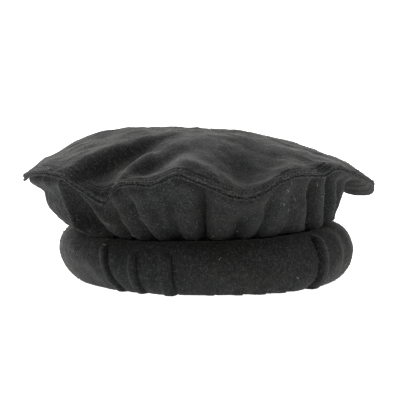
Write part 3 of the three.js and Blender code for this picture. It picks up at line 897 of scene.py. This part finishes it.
@dataclass
class RolledBrim:
    """The brim: the lower length of the tube, rolled up outwards into a thick soft ring."""

    sizes: Sizes
    wall: SideWall
    back: float = 0.3  # share of the brim's width that lies inside its highest line
    squareness: float = 2.05  # exponent of the section: 2 is an ellipse, and higher is squarer
    start: float = -120.0  # where the section begins under the roll, in degrees from its outermost line
    end: float = 210.0  # where it ends behind the roll
    points: int = 64
    hidden_points: tuple[int, int] = (4, 14)  # how many at its start and its end don't show
    pleat_end: float = 16.0  # degrees round the roll over which a pleat dies out
    lip_height: float = 2.8  # height of a full lip
    groove_depth: float = 0.9  # depth of a pleat's groove, a share of its lip's height
    sunk_depth: float = 0.25  # how far the felt beyond a groove is sunk, a share of the lip's height
    overlap: float = 1.3  # how far a pleat's lip laps over its groove
    lip_front: float = 0.4  # how far from the groove it is full, in widths of the pleat, as are the rest
    lip_back: tuple[float, float] = (0.8, 1.8)  # between which it sinks again
    groove_at: float = -0.08
    groove_width: float = 0.22
    sunk_from: float = 0.2
    sunk_reach: float = 2.4
    overlap_at: float = 0.22
    overlap_width: float = 0.35
    lumps: tuple[Lumps, ...] = table(Lumps, (0.6, 31, 34), (0.22, 32, 14), (0.08, 33, 5))
    lumps_back: float = 0.35  # how much of them there is on the inner half of the roll, a share
    lumps_fade: float = 60.0  # degrees round the roll over which they die out at its end
    columns: int = 900
    pleat_reach: float = 2.6  # how far round a pleat the columns stand closer, in degrees
    pleat_columns: float = 3.0  # how many times more columns there are

    @property
    def crest(self) -> float:
        """How far out from the inner face of the opening the highest line of the roll is."""
        return self.sizes.roll_start + self.back * self.sizes.brim_width

    def pleat(self, bearing: Array, around: Array) -> tuple[Array, Array]:
        """How the pleats shape the brim's skin.

        Args:
            bearing: The bearings in radians.
            around: The angles round the roll in degrees.

        Returns:
            How far the skin is lifted, a share of a full lip's height, and how far it is shifted towards
            growing bearings, in millimetres.
        """
        rise = np.zeros(np.broadcast(bearing, around).shape)
        shift = np.zeros_like(rise)
        for row in PLEATS:
            groove_at = np.radians(row.bearing + row.lean * around / 90)
            away = row.side * turn_between(groove_at, bearing) / math.radians(row.width)
            ends = row.lip * window(around, row.low, row.high, self.pleat_end)
            lip = smooth_step(away, 0, self.lip_front) * (1 - smooth_step(away, *self.lip_back))
            groove = bell((away - self.groove_at) / self.groove_width)
            sunk = (1 - smooth_step(-away, 0, self.sunk_reach)) * (1 - smooth_step(away, 0, self.sunk_from))
            rise += ends * (lip - self.groove_depth * groove - self.sunk_depth * sunk)
            shift -= row.side * ends * self.overlap * bell((away - self.overlap_at) / self.overlap_width)
        return rise, shift

    def section(self) -> tuple[Array, Array, Array]:
        """The section of the roll: angles round it in degrees, distances from the opening, and heights."""
        width, height = self.sizes.brim_width, self.sizes.brim_height
        around = np.linspace(self.start, self.end, self.points)
        cosine, sine = np.cos(np.radians(around)), np.sin(np.radians(around))
        across, upward = (np.sign(part) * np.abs(part) ** (2 / self.squareness) for part in (cosine, sine))
        half = np.where(across > 0, (1 - self.back) * width, self.back * width)
        return around, self.crest + half * across, height / 2 * (1 + upward)

    def build(self) -> bpy.types.Object:
        """Makes the roll, flat where it rests and pleated where the felt laps over itself."""
        pleated = [row.bearing for row in PLEATS]
        bearing = uneven_columns(self.columns, pleated, self.pleat_reach, self.pleat_columns)[None, :]
        width, height = self.sizes.brim_width, self.sizes.brim_height
        around, out, level = (column[:, None] for column in self.section())
        outer = np.maximum(out - self.crest, 0) / ((1 - self.back) * width)
        lower = 1 - level / height
        thick = out + (RoundCurve(ROLL, "thick")(bearing) - 1) * width * outer
        rounding = RoundCurve(ROLL, "lift")(bearing) * height * outer * lower
        rise, shift = self.pleat(bearing, around)
        plain = raised(self.wall.opening(bearing + 0 * around, thick), level)
        loose = smooth_step(around, self.end, self.end - self.lumps_fade)
        loose = loose * (self.lumps_back + (1 - self.lumps_back) * outer)
        swell = self.lip_height * rise + loose * lumpiness(self.lumps, plain)
        turned = bearing + shift / (self.sizes.opening_width / 2 + width)
        plan = self.wall.opening(turned, thick + swell * np.cos(np.radians(around)))
        sunk = level * (1 - RoundCurve(ROLL, "sag")(bearing)) + rounding - self.sizes.brim_settling * lower
        roll = raised(plan, np.maximum(sunk + swell * np.sin(np.radians(around)), 0))
        rows = [roll]
        for row in LEDGE:
            distance = row.felt * self.sizes.felt + row.gap * self.sizes.seam_gap
            place = self.wall.opening(bearing, np.full_like(bearing, distance))
            rows.append(raised(place, self.sizes.roll_start - row.down * self.sizes.felt))
        first, last = self.hidden_points
        self.skin = Skin(roll[first:-last], grid_normals(roll)[first:-last])
        thing = wrapped_felt("brim_felt", np.concatenate(rows), Section.ON_ITSELF)
        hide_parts("rolled_brim")
        return thing


@dataclass
class RimStitching:
    """The rows of stitches that hold the crown and the tube together, over and under the rim."""

    sizes: Sizes
    crown: Crown
    seed: int = 41
    pitch: float = 3.4  # from one stitch to the next
    stitch: float = 2.6  # length of a stitch
    thread: float = 0.5  # thickness of the thread
    sides: int = 5
    steps: int = 4 * COLUMNS  # points of the line that a row follows

    def line(self, inward: float) -> tuple[Array, Array]:
        """The line that a row of stitches follows.

        Args:
            inward: How far in from the rim it lies.

        Returns:
            Its points on the crown's upper face, and the height that each has without the relief.
        """
        bearing = np.arange(self.steps) * TURN / self.steps
        rim = self.crown.rim.plan(bearing)
        share = 1 - inward / np.linalg.norm(rim, axis=-1)
        smooth = self.crown.top(share, bearing)
        return raised(rim * share[:, None], smooth + self.crown.relief(share, bearing)), smooth

    def stitches(self, line: Array, lift: float) -> Array:
        """The middle lines of the stitches along a closed line.

        Args:
            line: The points of the line.
            lift: 1 for stitches that lie on top of the felt, and -1 for those under it.

        Returns:
            The paths, stitches by points by 3.
        """
        closed = np.concatenate([line, line[:1]])
        length = np.concatenate([[0], np.cumsum(np.linalg.norm(np.diff(closed, axis=0), axis=-1))])
        count = round(length[-1] / self.pitch)
        starts = np.arange(count) * length[-1] / count
        along, above, _ = np.array(STITCH).T
        at = (starts[:, None] + along * self.stitch) % length[-1]
        path = np.stack([np.interp(at, length, closed[:, axis]) for axis in range(3)], axis=-1)
        path[..., 2] += above * lift
        return path

    def build(self) -> bpy.types.Object:
        """Makes all the stitches as one piece of thread."""
        paths = []
        for row in self.crown.seam_rows:
            upper, smooth = self.line(row)
            lower = raised(upper[:, :2], smooth - 2 * self.sizes.felt - self.sizes.seam_gap)
            paths += [self.stitches(upper, 1), self.stitches(lower, -1)]
        joined = np.concatenate(paths)
        radii = np.array([point.thick for point in STITCH]) * self.thread / 2
        tones = np.random.default_rng(self.seed).random(len(joined))
        return tubes("rim_stitches", joined, radii, self.sides, tones)


@dataclass
class Nap:
    """The fine loose fibres that stand out of fulled wool and blur its outline."""

    name: str
    skin: Skin
    seed: int
    count: int = 20000
    thickness: float = 0.13  # wider than a wool fibre, which is 0.03, so that it shows in the render
    shortest: float = 0.7
    longest: float = 2.6
    rooted: float = 0.2  # how deep in the felt a fibre starts
    stand: tuple[float, float] = (12.0, 62.0)  # how steeply it leaves the felt, in degrees
    droop: tuple[float, float] = (-0.4, 0.9)  # how steep its tip is, a share of that
    veer: float = 0.6  # how far its tip turns aside
    sides: int = 3

    def build(self) -> bpy.types.Object:
        """Makes the fibres: each leans one way and curls over."""
        draw = np.random.default_rng(self.seed)
        roots, out = self.skin.scatter(draw, self.count)
        lean = ways_along(draw, out)
        each = (self.count, 1)
        half = (self.shortest + (self.longest - self.shortest) * draw.random(each) ** 2) / 2
        rise = np.radians(draw.uniform(*self.stand, each))
        middle = roots + half * (lean * np.cos(rise) + out * np.sin(rise))
        tip_rise = rise * draw.uniform(*self.droop, each)
        side = np.cross(out, lean) * draw.uniform(-self.veer, self.veer, each)
        tip = middle + half * unit(lean * np.cos(tip_rise) + out * np.sin(tip_rise) + side)
        paths = np.stack([roots - self.rooted * out, middle, tip], axis=1)
        radii = np.array([0, 1, 0]) * self.thickness / 2
        return tubes(self.name, paths, radii, self.sides, draw.random(self.count))


@dataclass
class Lint:
    """Pale stray fibres that cling to the felt."""

    skins: Sequence[Skin]
    seed: int = 61
    each: int = 110  # fibres on each piece
    thickness: float = 0.2
    shortest: float = 1.0
    longest: float = 5.5
    curl: float = 2.2  # how far one turns from end to end at most, in radians
    lift: float = 0.25  # how far over the felt one starts and ends, and how much higher its middle is
    points: int = 7
    sides: int = 3

    def build(self) -> bpy.types.Object:
        """Makes the fibres: each lies on the felt in a loose curl."""
        draw = np.random.default_rng(self.seed)
        paths = []
        for skin in self.skins:
            roots, out = skin.scatter(draw, self.each)
            ahead = ways_along(draw, out)
            length = self.shortest + (self.longest - self.shortest) * draw.random((self.each, 1)) ** 2
            curl = draw.uniform(-self.curl, self.curl, (self.each, 1))
            place = roots + self.lift * out
            line = [place]
            for step in range(1, self.points):
                angle = curl * step / self.points
                way = ahead * np.cos(angle) + np.cross(out, ahead) * np.sin(angle)
                place = place + way * length / self.points
                line.append(place + self.lift * out * math.sin(math.pi * step / self.points))
            paths.append(np.stack(line, axis=1))
        joined = np.concatenate(paths)
        radii = np.full(self.points, self.thickness / 2)
        radii[[0, -1]] = 0
        return tubes("lint", joined, radii, self.sides, draw.random(len(joined)))


def linear(colour: str) -> tuple[float, float, float, float]:
    """Turns an sRGB hex colour into the linear one that a shader takes."""
    parts = [int(colour[i : i + 2], 16) / 255 for i in (1, 3, 5)]
    red, green, blue = (c / 12.92 if c <= 0.04045 else ((c + 0.055) / 1.055) ** 2.4 for c in parts)
    return red, green, blue, 1.0


WHITE = linear("#ffffff")


def plug_in(node: bpy.types.Node, inputs: dict[str | int, object]) -> None:
    """Gives a node's inputs their values.

    Args:
        node: The node.
        inputs: A value, or another node's output, for each input by name or number.
    """
    for name, value in inputs.items():
        if isinstance(value, bpy.types.NodeSocket):
            node.id_data.links.new(value, node.inputs[name])
        else:
            node.inputs[name].default_value = value


def add_node(
    tree: bpy.types.NodeTree, kind: str, inputs: dict[str | int, object], **options: object
) -> bpy.types.Node:
    """Adds a node with its settings and links.

    Args:
        tree: The node tree.
        kind: The node's type.
        inputs: A value, or another node's output, for each input by name or number.
        **options: The node's properties.

    Returns:
        The node.
    """
    node = tree.nodes.new(kind)
    for name, value in options.items():
        setattr(node, name, value)
    plug_in(node, inputs)
    return node


def new_material(name: str) -> tuple[bpy.types.Material, bpy.types.Node]:
    """A new material with nothing but a Principled shader, and that shader."""
    material = bpy.data.materials.new(name)
    material.use_nodes = True
    return material, material.node_tree.nodes["Principled BSDF"]


def per_metre(size: float) -> float:
    """The scale of a pattern that repeats about once in so many millimetres."""
    return 1000 / size


class ToneRow(NamedTuple):
    """How a tone covers what is below it, of which a share at_low still shows where its pattern is at low or
    less, and at_high where it is at high or more. colour names the tone's field in the finish."""

    pattern: str
    low: float
    high: float
    at_low: float
    at_high: float
    colour: str


@dataclass(frozen=True)
class FulledWool:
    """Thick wool, woven, then fulled until the weave is gone, and dyed black.

    To the eye it is a deep matte grey-black, mottled where the nap lies this way and that, with a pale bloom
    where it is seen at a slant and short paler hairs all over.
    """

    name: str = "fulled_wool_felt_black"
    deep: str = "#131416"
    body: str = "#1e1f20"
    warm: str = "#242521"
    hair: str = "#4b4c4a"
    bloom: str = "#c9c9c4"
    cloud: float = 45.0  # size of the broad patches of tone
    mottle: float = 4.0  # size of the lumps that fulling leaves
    hair_width: float = 0.5  # coarser than a real hair, which is 0.03, so that it shows in the render
    hair_length: float = 2.6
    hair_curl: float = 0.4
    hair_ways: tuple[tuple[float, ...], ...] = (  # turns in radians, so that the hairs lie in all directions
        (0.3, 0.9, 0.5), (1.2, -0.6, 2.4), (-0.8, 0.4, -1.1), (0.5, -1.1, 1.6),
    )
    tones: tuple[ToneRow, ...] = table(
        ToneRow,
        ("clouds", 0.35, 0.65, 0, 1, "body"),
        ("mottles", 0.3, 0.72, 0, 1, "deep"),
        ("hairs", 0.61, 0.78, 1, 0.3, "hair"),
    )
    hair_relief: float = 0.6  # how much of the surface's relief the hairs are, against the lumps
    relief: float = 0.7  # its height
    relief_strength: float = 0.55
    roughness: float = 0.95
    specular: float = 0.2
    sheen: float = 0.2
    sheen_roughness: float = 0.3

    def material(self) -> bpy.types.Material:
        """Makes the material."""
        material, shader = new_material(self.name)
        tree = material.node_tree
        place = add_node(tree, "ShaderNodeTexCoord", {}).outputs["Object"]
        patterns = {"hairs": 0.0}
        for name, size, detail, rough in (("clouds", self.cloud, 2, 0.5), ("mottles", self.mottle, 5, 0.62)):
            inputs = {"Vector": place, "Scale": per_metre(size), "Detail": detail, "Roughness": rough}
            patterns[name] = add_node(tree, "ShaderNodeTexNoise", inputs).outputs["Fac"]
        for turn in self.hair_ways:
            inputs = {"Vector": place, "Rotation": turn, "Scale": (self.hair_length / self.hair_width, 1, 1)}
            stretched = add_node(tree, "ShaderNodeMapping", inputs, vector_type="TEXTURE").outputs["Vector"]
            inputs = {"Vector": stretched, "Scale": per_metre(self.hair_width * 2)}
            inputs |= {"Detail": 1, "Distortion": self.hair_curl}
            streaks = add_node(tree, "ShaderNodeTexNoise", inputs).outputs["Fac"]
            inputs = {0: patterns["hairs"], 1: streaks}
            patterns["hairs"] = add_node(tree, "ShaderNodeMath", inputs, operation="MAXIMUM").outputs[0]
        colour = linear(self.warm)
        for row in self.tones:
            inputs = {"Value": patterns[row.pattern], "From Min": row.low, "From Max": row.high}
            inputs |= {"To Min": row.at_low, "To Max": row.at_high}
            share = add_node(tree, "ShaderNodeMapRange", inputs).outputs[0]
            inputs = {0: share, 6: linear(getattr(self, row.colour)), 7: colour}
            colour = add_node(tree, "ShaderNodeMix", inputs, data_type="RGBA").outputs[2]
        inputs = {0: patterns["hairs"], 1: self.hair_relief, 2: patterns["mottles"]}
        height = add_node(tree, "ShaderNodeMath", inputs, operation="MULTIPLY_ADD").outputs[0]
        inputs = {"Height": height, "Strength": self.relief_strength, "Distance": self.relief * MM}
        bump = add_node(tree, "ShaderNodeBump", inputs)
        plug_in(
            shader,
            {
                "Base Color": colour,
                "Normal": bump.outputs["Normal"],
                "Roughness": self.roughness,
                "Specular IOR Level": self.specular,
                "Sheen Weight": self.sheen,
                "Sheen Roughness": self.sheen_roughness,
                "Sheen Tint": linear(self.bloom),
            },
        )
        return material


@dataclass(frozen=True)
class WoolFibre:
    """Single wool fibres, dyed with the felt or not, each in its own tone from dark to pale."""

    name: str
    dark: str
    pale: str
    contrast: float = 2.0  # exponent of the tone: higher leaves fewer pale fibres
    roughness: float = 0.8
    specular: float = 0.2

    def material(self) -> bpy.types.Material:
        """Makes the material, which reads each fibre's tone."""
        material, shader = new_material(self.name)
        tree = material.node_tree
        tone = add_node(tree, "ShaderNodeAttribute", {}, attribute_name="tone").outputs["Fac"]
        share = add_node(tree, "ShaderNodeMath", {0: tone, 1: self.contrast}, operation="POWER").outputs[0]
        inputs = {0: share, 6: linear(self.dark), 7: linear(self.pale)}
        colour = add_node(tree, "ShaderNodeMix", inputs, data_type="RGBA").outputs[2]
        inputs = {"Base Color": colour, "Roughness": self.roughness, "Specular IOR Level": self.specular}
        plug_in(shader, inputs)
        return material


@dataclass(frozen=True)
class Studio:
    """The pale floor, the soft light and the camera."""

    floor_colour: str = "#fbfbfb"
    floor_size: float = 60.0  # in metres
    floor_drop: float = 0.2  # how far it lies below the cap
    floor_glow: float = 1.2  # light that the floor, a lit white panel, gives out itself
    floor_roughness: float = 0.9
    floor_specular: float = 0.1
    sky_glow: float = 1.1  # strength of the white surroundings, behind and beside the cap
    front_glow: float = 0.07  # and in front of it and above it
    side_share: float = 0.75  # how far a side counts as the back
    glow_fade: tuple[float, float] = (-0.1, 0.6)  # how far back the one passes into the other
    overhead: float = 4.2  # strength of the soft light from above
    overhead_spread: float = 60.0  # how wide it is, in degrees
    overhead_way: tuple[float, float, float] = (-0.45, 1.8, 1.0)  # where it comes from
    camera_rise: float = 6.0  # degrees above the horizontal
    camera_distance: float = 2200.0  # from what it looks at
    target: tuple[float, float, float] = (1.2, 0.0, 64.0)
    pixel: float = 0.82  # size of a pixel of the picture at the target
    picture: int = 400  # pixels across
    sensor: float = 36.0

    def build(self) -> None:
        """Makes the floor, the lights and the camera."""
        self.floor()
        self.lights()
        self.camera()

    def floor(self) -> None:
        """Makes the floor."""
        bm = bmesh.new()
        bmesh.ops.create_grid(bm, x_segments=1, y_segments=1, size=self.floor_size / 2)
        mesh = bpy.data.meshes.new("floor")
        bm.to_mesh(mesh)
        bm.free()
        floor = shown(mesh)
        floor.location.z = -self.floor_drop * MM
        material, shader = new_material("painted_floor_white")
        plug_in(
            shader,
            {
                "Base Color": linear(self.floor_colour),
                "Roughness": self.floor_roughness,
                "Specular IOR Level": self.floor_specular,
                "Emission Color": WHITE,
                "Emission Strength": self.floor_glow,
            },
        )
        mesh.materials.append(material)

    def lights(self) -> None:
        """Makes the white surroundings and one broad soft light overhead."""
        world = bpy.data.worlds.new("white_studio")
        world.use_nodes = True
        tree = world.node_tree
        way = add_node(tree, "ShaderNodeTexCoord", {}).outputs["Generated"]
        parts = add_node(tree, "ShaderNodeSeparateXYZ", {0: way}).outputs
        aside = add_node(tree, "ShaderNodeMath", {0: parts["X"]}, operation="ABSOLUTE").outputs[0]
        inputs = {0: aside, 1: self.side_share, 2: parts["Y"]}
        behind = add_node(tree, "ShaderNodeMath", inputs, operation="MULTIPLY_ADD").outputs[0]
        inputs = {"Value": behind, "From Min": self.glow_fade[0], "From Max": self.glow_fade[1]}
        inputs |= {"To Min": self.front_glow, "To Max": self.sky_glow}
        glow = add_node(tree, "ShaderNodeMapRange", inputs, interpolation_type="SMOOTHSTEP").outputs[0]
        plug_in(tree.nodes["Background"], {"Strength": glow, "Color": WHITE})
        bpy.context.scene.world = world
        light = bpy.data.lights.new("overhead", "SUN")
        light.energy = self.overhead
        light.angle = math.radians(self.overhead_spread)
        lamp = bpy.data.objects.new("overhead", light)
        lamp.location = (0, 0, 2)
        lamp.rotation_euler = Vector(self.overhead_way).to_track_quat("Z", "Y").to_euler()
        bpy.context.scene.collection.objects.link(lamp)

    def camera(self) -> None:
        """Makes the camera."""
        rise = math.radians(self.camera_rise)
        target = Vector(self.target) * MM
        away = Vector((0, -math.cos(rise), math.sin(rise))) * self.camera_distance * MM
        data = bpy.data.cameras.new("camera")
        data.sensor_width = self.sensor
        data.lens = self.sensor * self.camera_distance / (self.picture * self.pixel)
        data.clip_end = 200
        camera = bpy.data.objects.new("camera", data)
        camera.location = target + away
        camera.rotation_euler = (-away).to_track_quat("-Z", "Y").to_euler()
        bpy.context.scene.collection.objects.link(camera)
        bpy.context.scene.camera = camera


class Part(Protocol):
    """Anything of the cap that can be built."""

    def build(self) -> bpy.types.Object:
        """Makes its piece."""


def dress(part: Part, finish: bpy.types.Material) -> None:
    """Builds a part, gives it its finish and reports it."""
    thing = part.build()
    thing.data.materials.append(finish)
    log.info("%s: %d faces", thing.name, len(thing.data.polygons))


def main() -> None:
    """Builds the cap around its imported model, dresses it and sets it in the studio."""
    logging.basicConfig(level=logging.INFO, format="%(name)s: %(message)s")
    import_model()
    felt = FulledWool().material()
    fibre = WoolFibre("wool_nap_black", "#1c1d1d", "#7a7c79").material()
    # Paler nap for the crown's edge and the hem. The fuzz is real, but its paler tone is a painted highlight:
    # it stands in for the lit rim edge and covers the shade in the gap under it.
    edge_fibre_painted_highlight = WoolFibre("edge_nap_grey_painted_highlight", "#2c2d2d", "#8a8c89", 1.2).material()
    stray_fibre = WoolFibre("lint_pale", "#5c5e5e", "#d2d4d2", 2.5).material()
    thread = WoolFibre("sewing_thread_black", "#121213", "#1f2021").material()

    sizes = Sizes()
    rim = Rim(sizes)
    crown = Crown(sizes, rim)
    wall = SideWall(sizes, rim, crown)
    brim = RolledBrim(sizes, wall)
    for part in (crown, wall, brim):
        dress(part, felt)
    dress(RimStitching(sizes, crown), thread)
    dress(Nap("crown_nap", crown.skin, 51), fibre)
    dress(Nap("wall_nap", wall.skin, 52), fibre)
    dress(Nap("brim_nap", brim.skin, 53, count=27000, longest=2.9), fibre)
    # Paler fibres along the rim and the hem below it: a painted highlight on the rim edge, laid over the
    # shaded gap.
    dress(Nap("rim_nap", crown.edge, 54, count=9000, longest=1.8), edge_fibre_painted_highlight)
    dress(Nap("seam_nap", wall.edge, 55, count=6000, longest=1.8), edge_fibre_painted_highlight)
    dress(Lint([part.skin for part in (crown, wall, brim)]), stray_fibre)
    Studio().build()
    bpy.context.scene.view_settings.view_transform = "Standard"


if __name__ == "__main__":
    main()
